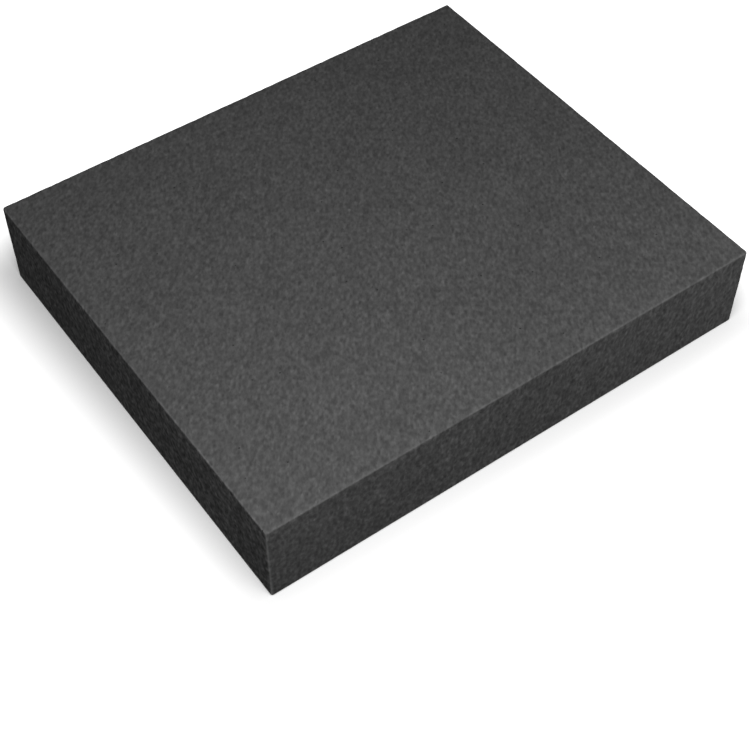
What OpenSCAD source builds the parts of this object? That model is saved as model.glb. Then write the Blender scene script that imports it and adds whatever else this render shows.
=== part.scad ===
// Craft foam sheet: one slab of open-cell foam, cut square and lying flat.
// The origin is at the middle of the underside. X runs along the length,
// Y along the width, and Z up through the thickness.

/* [Sheet] */
// Length of the sheet, along X
sheet_length = 355.6; // [100:0.1:1200]
// Width of the sheet, along Y
sheet_width = 304.8; // [80:0.1:1000]
// Thickness of the sheet, along Z
sheet_thickness = 63.5; // [10:0.1:150]

/* [Cut edges] */
// Radius of the soft round that the cutting blade leaves along every edge
edge_round = 1.5; // [0.2:0.1:4]

/* [Hidden] */

// Charcoal grey, the same all the way through
foam_colour = "#474747";
// Segments in a full turn of the rounds
$fn = 32;

// A rectangle centred on the origin, with its four corners rounded
module rounded_rectangle(size_x, size_y, radius) {
    straight_x = size_x - 2 * radius;
    straight_y = size_y - 2 * radius;
    square([size_x, straight_y], center = true);
    square([straight_x, size_y], center = true);
    for (side_x = [-1, 1], side_y = [-1, 1])
        translate([side_x * straight_x / 2, side_y * straight_y / 2])
            circle(r = radius);
}

// A straight bar of rounded section, centred on the origin, that runs along Z
module rounded_bar(size_x, size_y, run, radius) {
    linear_extrude(height = run, center = true)
        rounded_rectangle(size_x, size_y, radius);
}

// A slab centred on the origin with all twelve edges rounded: what three
// crossed bars, one along each axis, have in common
module rounded_slab(size_x, size_y, size_z, radius) {
    intersection() {
        rounded_bar(size_x, size_y, size_z, radius);
        rotate([90, 0, 0]) rounded_bar(size_x, size_z, size_y, radius);
        rotate([0, 90, 0]) rounded_bar(size_z, size_y, size_x, radius);
    }
}

// The whole sheet, resting on its underside
module foam_sheet() {
    color(foam_colour)
        translate([0, 0, sheet_thickness / 2])
            rounded_slab(sheet_length, sheet_width, sheet_thickness, edge_round);
}

foam_sheet();
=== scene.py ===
import math

import bpy
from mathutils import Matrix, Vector


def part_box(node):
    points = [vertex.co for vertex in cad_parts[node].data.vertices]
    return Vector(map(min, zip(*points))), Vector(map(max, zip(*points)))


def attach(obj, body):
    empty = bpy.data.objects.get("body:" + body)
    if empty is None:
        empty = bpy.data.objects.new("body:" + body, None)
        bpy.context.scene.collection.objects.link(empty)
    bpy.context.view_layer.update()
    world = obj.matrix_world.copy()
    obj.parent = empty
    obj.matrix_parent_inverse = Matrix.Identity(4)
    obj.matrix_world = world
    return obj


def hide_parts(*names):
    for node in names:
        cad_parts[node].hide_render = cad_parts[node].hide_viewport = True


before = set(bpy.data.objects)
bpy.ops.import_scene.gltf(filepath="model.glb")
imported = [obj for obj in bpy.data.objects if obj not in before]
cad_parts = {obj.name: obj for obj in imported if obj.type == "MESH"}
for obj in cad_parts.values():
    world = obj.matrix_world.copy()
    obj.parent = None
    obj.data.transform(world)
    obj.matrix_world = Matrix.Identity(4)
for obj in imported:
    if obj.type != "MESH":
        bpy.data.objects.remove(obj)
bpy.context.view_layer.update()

# A slab of charcoal open-cell foam, sawn square, lying on a pale floor.
# Everything is in metres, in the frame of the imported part.

mm = 0.001
low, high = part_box("foam_sheet")
slabSize = high - low
slabMiddle = (low + high) / 2
print("frame loaded, slab", [round(side / mm, 1) for side in slabSize], "mm")


class Wire:
    # One output socket in an expression. An operator adds the Math node that works
    # it out, or the Vector Math node where a side is a vector.
    def __init__(self, graph, socket):
        self.graph = graph
        self.socket = socket

    def other(self, name):
        return Wire(self.graph, findSocket(self.socket.node.outputs, name))

    def __add__(self, value):
        return self.graph.math("ADD", self, value)

    def __radd__(self, value):
        return self.graph.math("ADD", value, self)

    def __sub__(self, value):
        return self.graph.math("SUBTRACT", self, value)

    def __rsub__(self, value):
        return self.graph.math("SUBTRACT", value, self)

    def __mul__(self, value):
        return self.graph.math("MULTIPLY", self, value)

    def __rmul__(self, value):
        return self.graph.math("MULTIPLY", value, self)

    def __truediv__(self, value):
        return self.graph.math("DIVIDE", self, value)

    def __pow__(self, value):
        return self.graph.math("POWER", self, value)


def grey(level):
    return (level, level, level, 1.0)


def findSocket(sockets, key):
    # by place, or by name among the sockets that are in use
    if isinstance(key, int):
        return sockets[key]
    return next(s for s in sockets if s.enabled and key in (s.name, s.identifier))


def isVector(value):
    if isinstance(value, Wire):
        return value.socket.type == "VECTOR"
    return isinstance(value, (tuple, list, Vector))


class Graph:
    # A shader or geometry tree that is built one node at a time
    def __init__(self, tree):
        self.tree = tree

    def node(self, kind, settings=None, sockets=None, output=0):
        made = self.tree.nodes.new(kind)
        for name, value in (settings or {}).items():
            setattr(made, name, value)
        for key, value in (sockets or {}).items():
            socket = findSocket(made.inputs, key)
            if isinstance(value, Wire):
                self.tree.links.new(value.socket, socket)
            else:
                socket.default_value = value
        return Wire(self, findSocket(made.outputs, output)) if made.outputs else made

    def math(self, operation, *values):
        if not any(isVector(value) for value in values):
            return self.node("ShaderNodeMath", {"operation": operation}, dict(enumerate(values)))
        wide = [(v, v, v) if isinstance(v, (int, float)) else v for v in values]
        return self.node("ShaderNodeVectorMath", {"operation": operation}, dict(enumerate(wide)))

    def measure(self, operation, *vectors):
        # the kinds of Vector Math that give a number, such as LENGTH
        return self.node("ShaderNodeVectorMath", {"operation": operation},
                         dict(enumerate(vectors)), "Value")

    def rise(self, value, start, end):
        # 0 up to the start, 1 from the end on and smooth between; the end may be the lower
        return self.node("ShaderNodeMapRange", {"interpolation_type": "SMOOTHSTEP"}, {
            "Value": value, "From Min": start, "From Max": end})

    def mix(self, share, first, second):
        return self.node("ShaderNodeMix", {"data_type": "RGBA"}, {
            "Factor": share, "A": first, "B": second}, "Result")

    def noise(self, point, size, detail=0.0, roughness=0.5, seed=0.0, output=0):
        # size is the distance between the largest lumps, in the point's own unit
        return self.node("ShaderNodeTexNoise", {"noise_dimensions": "4D"}, {
            "Vector": point / size, "W": seed, "Scale": 1.0, "Detail": detail,
            "Roughness": roughness}, output)

    def cells(self, point, size):
        # distance from the middle of the nearest bubble, in shares of the spacing
        return self.node("ShaderNodeTexVoronoi", {"feature": "F1"}, {
            "Vector": point / size, "Scale": 1.0, "Randomness": 1.0}, "Distance")

    def split(self, vector):
        x = self.node("ShaderNodeSeparateXYZ", None, {"Vector": vector})
        return x, x.other("Y"), x.other("Z")


def edgeDistance(graph, point, half):
    # how far a point on a box lies from the nearest edge: the middle one of its
    # three distances to the box's sides
    x, y, z = graph.split(graph.math("SUBTRACT", half, graph.math("ABSOLUTE", point)))
    nearer = graph.math("MINIMUM", x, y)
    farther = graph.math("MAXIMUM", x, y)
    return graph.math("MAXIMUM", nearer, graph.math("MINIMUM", farther, z))


slabForm = {
    "edgeRadius": 1.7 * mm,      # the soft round that the blade leaves
    "edgeRings": 3.0,            # rings of faces in each half of a rounded edge
    "waveDepth": 0.20 * mm,      # how far the saw wandered into a face
    "waveLength": 70.0 * mm,
    "tearDepth": 0.35 * mm,      # torn cells along the edges
    "tearLength": 5.0 * mm,
    "tearReach": 3.0 * mm,       # how far in from the edge they start
    "tearStart": 0.42,           # noise level where the tearing sets in
    "tearFull": 0.80,
    "waveSeed": 7.0,
    "tearSeed": 12.0,
}
slabCell = 1.84 * mm             # spacing of the mesh on the flat faces


def startTree(name, inputs):
    # a geometry tree with one named input for each value, and the values' wires
    tree = bpy.data.node_groups.new(name, "GeometryNodeTree")
    for key, value in inputs.items():
        kind = "NodeSocketVector" if isVector(value) else "NodeSocketFloat"
        tree.interface.new_socket(key, in_out="INPUT", socket_type=kind)
    tree.interface.new_socket("shape", in_out="OUTPUT", socket_type="NodeSocketGeometry")
    graph = Graph(tree)
    given = graph.node("NodeGroupInput")
    return graph, {key: given.other(key) for key in inputs}


def finishTree(graph, shape, material):
    real = graph.node("GeometryNodeRealizeInstances", None, {"Geometry": shape})
    coated = graph.node("GeometryNodeSetMaterial", None, {"Geometry": real, "Material": material})
    graph.node("NodeGroupOutput", None, {"shape": coated})


def meshFromTree(name, tree, inputs):
    # runs the tree on an empty mesh and keeps what it makes as a plain mesh
    holder = bpy.data.objects.new(name + "Holder", bpy.data.meshes.new(name + "Holder"))
    bpy.context.scene.collection.objects.link(holder)
    modifier = holder.modifiers.new(name, "NODES")
    modifier.node_group = tree
    for item in tree.interface.items_tree:
        if item.in_out == "INPUT":
            value = inputs[item.name]
            modifier[item.identifier] = list(value) if isVector(value) else value
    depsgraph = bpy.context.evaluated_depsgraph_get()
    mesh = bpy.data.meshes.new_from_object(holder.evaluated_get(depsgraph))
    holder.modifiers.remove(modifier)
    bpy.data.objects.remove(holder)
    mesh.name = name
    made = bpy.data.objects.new(name, mesh)
    bpy.context.scene.collection.objects.link(made)
    return made


def buildSlab(form, material):
    flatSides = [side - 2 * form["edgeRadius"] for side in slabSize]
    cells = [2.0 * round(side / slabCell / 2) for side in flatSides]   # even, so none spans the middle
    inputs = {**form, "size": tuple(slabSize), "cells": tuple(cells)}
    graph, given = startTree("sawnFoamSlab", inputs)
    size, radius, rings = given["size"], given["edgeRadius"], given["edgeRings"]

    # a cube from -1 to 1 whose sides are cut into cells, with more rings for the edges
    counts = graph.split(given["cells"] + rings * 2 + 1)
    cube = graph.node("GeometryNodeMeshCube", None, {
        "Size": (2, 2, 2), "Vertices X": counts[0], "Vertices Y": counts[1],
        "Vertices Z": counts[2]})

    # spread the cells over the flat part and gather the rings in the rounded edges
    half = size / 2
    flat = half - radius
    halfCells = given["cells"] / 2
    place = graph.node("GeometryNodeInputPosition")
    steps = graph.math("ABSOLUTE", place) * (halfCells + rings)
    onFlat = graph.math("MINIMUM", steps / halfCells, 1.0) * flat
    turn = graph.math("MAXIMUM", steps - halfCells, 0.0) / rings * (math.pi / 4)
    onBox = graph.math("SIGN", place) * (onFlat + graph.math("TANGENT", turn) * radius)

    # round every edge and corner about the flat part's own box
    core = graph.math("MINIMUM", graph.math("MAXIMUM", onBox, flat * -1), flat)
    outward = graph.math("NORMALIZE", onBox - core)
    rounded = core + outward * radius

    # the blade's slow wander over a face, and cells torn out along the edges: both
    # go inwards only, and the underside stays flat
    wander = graph.noise(rounded, given["waveLength"], detail=1.0, seed=given["waveSeed"])
    rag = graph.noise(rounded, given["tearLength"], detail=3.0, seed=given["tearSeed"])
    toEdge = edgeDistance(graph, rounded, half)
    torn = graph.rise(rag, given["tearStart"], given["tearFull"])
    torn = torn * graph.rise(toEdge, given["tearReach"], 0.0)
    depth = wander * given["waveDepth"] + torn * given["tearDepth"]
    height = graph.split(rounded + half)[2]
    raised = graph.rise(height, 0.0, given["tearReach"])
    carved = rounded - outward * (depth * raised)
    standing = carved + size * (0, 0, 0.5)

    shaped = graph.node("GeometryNodeSetPosition", None, {"Geometry": cube, "Position": standing})
    smooth = graph.node("GeometryNodeSetShadeSmooth", None, {"Geometry": shaped})
    finishTree(graph, smooth, material)
    return meshFromTree("foamSlab", graph.tree, inputs)


foamFinish = {
    "hollowShadeGrey": 0.018,         # painted shade down in an open cell
    "strutHighlightGrey": 0.280,          # a painted highlight on a strut end that faces the light
    "paleness": 0.685,           # where the surface lies between the two, on the whole
    "tipSharpness": 4.0,         # above 1, the painted highlights on strut ends are rarer and stand out more
    "riseTurn": (39.0, 0.0, -36.0),      # degrees, the foam rose at a slant to the slab
    "riseStretch": (0.66, 1.00, 1.40),   # how long its grain is across, along and up that way
    "cellSize": 2.8,             # mm between open cells
    "cellSway": 2.2,             # mm that their outlines are bent
    "smallOpening": 0.45,        # radius of a cell's opening, in shares of cellSize
    "largeOpening": 0.85,
    "cellShadeContrast": 0.04,        # how far an opening is darker than its struts, as painted shade down in it
    "windowShare": 0.12,         # of the cells keep the skin over their opening, painted paler as a glint off it
    "skinGlintContrast": 0.09,
    "grainSize": 2.8,            # mm, the larger of the denser and looser spots
    "grainFineness": 0.35,       # how strong the spots of half that size are
    "grainSeed": 0.5,
    "grainContrast": 0.28,
    "faceContrast": (1.80, 1.28, 1.0),   # times these on the faces across X, Y and Z
    "driftSize": 60.0,           # mm, slow change of tone over a face
    "driftContrast": 0.04,
    "holeSpacing": 11.0,         # mm between larger holes, where bubbles ran together
    "holeRadius": 0.75,          # mm
    # how much darker a hole is, as painted shade
    "holeShadeContrast": 0.15,
    "reliefDepth": 0.67,         # mm between struts and hollows
    "edgeReach": 1.8,            # mm of painted highlight along each edge, where cut strut ends would catch the light
    "edgeRagged": 1.2,           # mm that the strip's border strays
    "edgeHighlightStrength": (0.23, 0.15, 0.02),  # how strong the painted edge highlight is on the faces across X, Y and Z
    "hollowRoughness": 1.0,
    "strutRoughness": 0.86,
}


def buildFoamMaterial(finish):
    material = bpy.data.materials.new("charcoalFoam")
    material.use_nodes = True
    material.node_tree.nodes.clear()
    graph = Graph(material.node_tree)
    place = graph.node("ShaderNodeTexCoord", None, None, "Object")
    inMm = place / mm

    # the foam's own grain is longer along the way that it rose
    slanted = graph.node("ShaderNodeMapping", {"vector_type": "TEXTURE"}, {
        "Vector": inMm, "Rotation": tuple(math.radians(turn) for turn in finish["riseTurn"]),
        "Scale": finish["riseStretch"]})

    # open cells: round hollows between thin struts, none quite alike
    sway = graph.noise(slanted, finish["cellSize"], output="Color") - (0.5,) * 3
    cells = graph.cells(slanted + sway * finish["cellSway"], finish["cellSize"])
    lot = graph.node("ShaderNodeSeparateColor", None, {"Color": cells.other("Color")})
    spread = finish["largeOpening"] - finish["smallOpening"]
    opening = graph.rise(cells, finish["smallOpening"] + lot * spread, 0.0)
    # cells that keep their skin: raised in the bump, and painted paler as a glint
    glintingSkin = graph.rise(lot.other("Green"), 1 - finish["windowShare"], 1.0) * opening

    # denser and looser spots, and a slow drift of tone
    grain = graph.noise(slanted, finish["grainSize"], detail=1.0,
                        roughness=finish["grainFineness"], seed=finish["grainSeed"]) - 0.5
    drift = graph.noise(inMm, finish["driftSize"], detail=1.0) - 0.5
    # painted shade in the cell openings, and random grain, both also in the bump
    relief = (0.5 - opening) * finish["cellShadeContrast"] + grain * finish["grainContrast"]
    relief = relief + glintingSkin * finish["skinGlintContrast"]

    # the sawn ends show more open cells than the top and the underside do
    facing = graph.node("ShaderNodeTexCoord", None, None, "Normal")
    faceShare = facing * facing
    relief = relief * graph.measure("DOT_PRODUCT", faceShare, finish["faceContrast"])

    # a few larger holes, sunk in the bump and darkened with painted shade inside
    toHole = graph.cells(inMm, finish["holeSpacing"]) * finish["holeSpacing"]
    hole = graph.rise(toHole, finish["holeRadius"], 0.0)

    # a painted highlight along the edges, where cut strut ends would catch the light, strongest on the
    # sawn ends
    toEdge = edgeDistance(graph, place - tuple(slabMiddle), tuple(slabSize / 2)) / mm
    paintedEdgeLight = graph.rise(toEdge + grain * finish["edgeRagged"], finish["edgeReach"], 0.0)
    paintedEdgeLight = paintedEdgeLight * graph.measure("DOT_PRODUCT", faceShare, finish["edgeHighlightStrength"])

    pale = finish["paleness"] + relief + drift * finish["driftContrast"]
    # painted shade in the holes, and the painted edge highlight
    pale = pale - hole * finish["holeShadeContrast"] + paintedEdgeLight
    pale = graph.node("ShaderNodeClamp", None, {"Value": pale})
    # the foam's grey, running from painted shade in the hollows to painted highlights on strut ends
    colour = graph.mix(pale ** finish["tipSharpness"], grey(finish["hollowShadeGrey"]),
                       grey(finish["strutHighlightGrey"]))

    roughness = finish["hollowRoughness"] * (1 - pale) + finish["strutRoughness"] * pale
    height = (relief - hole) * finish["reliefDepth"]
    bump = graph.node("ShaderNodeBump", None, {"Height": height, "Distance": mm, "Strength": 1.0})
    foam = graph.node("ShaderNodeBsdfPrincipled", None, {
        "Base Color": colour, "Roughness": roughness, "Normal": bump,
        "Specular IOR Level": 0.0})
    graph.node("ShaderNodeOutputMaterial", None, {"Surface": foam})
    return material


def directionTo(azimuth, elevation):
    # the way to something seen at that azimuth, where 0 is the slab's front
    a, e = math.radians(azimuth), math.radians(elevation)
    return Vector((math.sin(a) * math.cos(e), -math.cos(a) * math.cos(e), math.sin(e)))


def seesBackground(graph):
    # 1 for the rays that show the surroundings: straight, mirrored or through glass
    path = graph.node("ShaderNodeLightPath", None, None, "Is Camera Ray")
    mirrored = graph.math("MAXIMUM", path.other("Is Glossy Ray"), path.other("Is Transmission Ray"))
    return graph.math("MAXIMUM", path, mirrored)


floorSetup = {
    "size": 40.0,
    "contactShadeWhite": 0.12,           # the floor's plain white close to the slab, dimmed as a painted contact shadow
    "contactShadeReach": 0.065,         # this far from the slab the painted contact shadow has faded to plain white
    "litGrey": 0.90,             # what the lamps add to that, and the shadow takes away
    "bounceGrey": 0.10,          # what the floor gives back to the foam
}


def buildFloor(setup):
    half = setup["size"] / 2
    corners = [(-half, -half, 0), (half, -half, 0), (half, half, 0), (-half, half, 0)]
    mesh = bpy.data.meshes.new("paleFloor")
    mesh.from_pydata(corners, [], [(0, 1, 2, 3)])
    floor = bpy.data.objects.new("paleFloor", mesh)
    bpy.context.scene.collection.objects.link(floor)
    material = bpy.data.materials.new("paleFloor")
    material.use_nodes = True
    material.node_tree.nodes.clear()
    graph = Graph(material.node_tree)
    place = graph.node("ShaderNodeTexCoord", None, None, "Object")
    # the floor's white dims towards the slab as a painted contact shadow, under the lamps' real shadow
    beyond = graph.math("ABSOLUTE", place - tuple(slabMiddle)) - tuple(slabSize / 2)
    reach = graph.measure("LENGTH", graph.math("MAXIMUM", beyond, 0.0))
    whiteWithContactShade = graph.mix(graph.rise(reach, 0.0, setup["contactShadeReach"]), grey(setup["contactShadeWhite"]), grey(1))
    white = graph.node("ShaderNodeEmission", None, {"Color": whiteWithContactShade, "Strength": 1.0})
    lit = graph.node("ShaderNodeBsdfDiffuse", None, {"Color": grey(setup["litGrey"])})
    shown = graph.node("ShaderNodeAddShader", None, {0: lit, 1: white})
    bounced = graph.node("ShaderNodeBsdfDiffuse", None, {"Color": grey(setup["bounceGrey"])})
    both = graph.node("ShaderNodeMixShader", None, {0: seesBackground(graph), 1: bounced, 2: shown})
    graph.node("ShaderNodeOutputMaterial", None, {"Surface": both})
    mesh.materials.append(material)


studioSetup = {"fillLevel": 0.262}   # soft light from all round, where 1 would be white


def buildWorld(setup):
    world = bpy.data.worlds.new("studio")
    bpy.context.scene.world = world
    world.use_nodes = True
    world.node_tree.nodes.clear()
    graph = Graph(world.node_tree)
    fill = graph.node("ShaderNodeBackground", None, {
        "Color": grey(1), "Strength": setup["fillLevel"]})
    white = graph.node("ShaderNodeBackground", None, {"Color": grey(1), "Strength": 1.0})
    both = graph.node("ShaderNodeMixShader", None, {0: seesBackground(graph), 1: fill, 2: white})
    graph.node("ShaderNodeOutputWorld", None, {"Surface": both})


# each lamp: the way to it from the slab's middle in degrees, its distance, width and watts
lamps = {
    "keyLamp": {"azimuth": -34.0, "elevation": 52.0, "distance": 0.60, "size": 0.40, "power": 2.49},
    "sideLamp": {"azimuth": 45.0, "elevation": 20.0, "distance": 0.45, "size": 0.30, "power": 0.370},
}


def buildLamp(name, lamp):
    data = bpy.data.lights.new(name, "AREA")
    data.shape = "DISK"
    data.size = lamp["size"]
    data.energy = lamp["power"]
    toLamp = directionTo(lamp["azimuth"], lamp["elevation"])
    hung = bpy.data.objects.new(name, data)
    hung.location = slabMiddle + toLamp * lamp["distance"]
    hung.rotation_euler = toLamp.to_track_quat("Z", "Y").to_euler()
    hung.visible_camera = False
    bpy.context.scene.collection.objects.link(hung)


cameraSetup = {
    "azimuth": -35.80,           # in front and to the left, looking down
    "elevation": 50.60,
    "distance": 1.0098,          # from the middle of the underside
    "panRight": 0.0030,
    "panUp": -0.0509,
    "lens": 73.82,               # mm, on a sensor of this width
    "sensorWidth": 36.0,
}


def buildCamera(setup):
    back = directionTo(setup["azimuth"], setup["elevation"])
    turn = back.to_track_quat("Z", "Y")
    right, up = turn @ Vector((1, 0, 0)), turn @ Vector((0, 1, 0))
    data = bpy.data.cameras.new("camera")
    data.lens = setup["lens"]
    data.sensor_width = setup["sensorWidth"]
    camera = bpy.data.objects.new("camera", data)
    camera.location = (Vector((0, 0, low.z)) + back * setup["distance"]
                       + right * setup["panRight"] + up * setup["panUp"])
    camera.rotation_euler = turn.to_euler()
    bpy.context.scene.collection.objects.link(camera)
    bpy.context.scene.camera = camera


buildCamera(cameraSetup)
print("camera placed")

slab = buildSlab(slabForm, buildFoamMaterial(foamFinish))
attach(slab, "root")
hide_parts("foam_sheet")
print("foam slab made,", len(slab.data.polygons), "faces")

buildFloor(floorSetup)
buildWorld(studioSetup)
for lampName, lamp in lamps.items():
    buildLamp(lampName, lamp)
bpy.context.scene.view_settings.view_transform = "Standard"
print("floor and lights set")
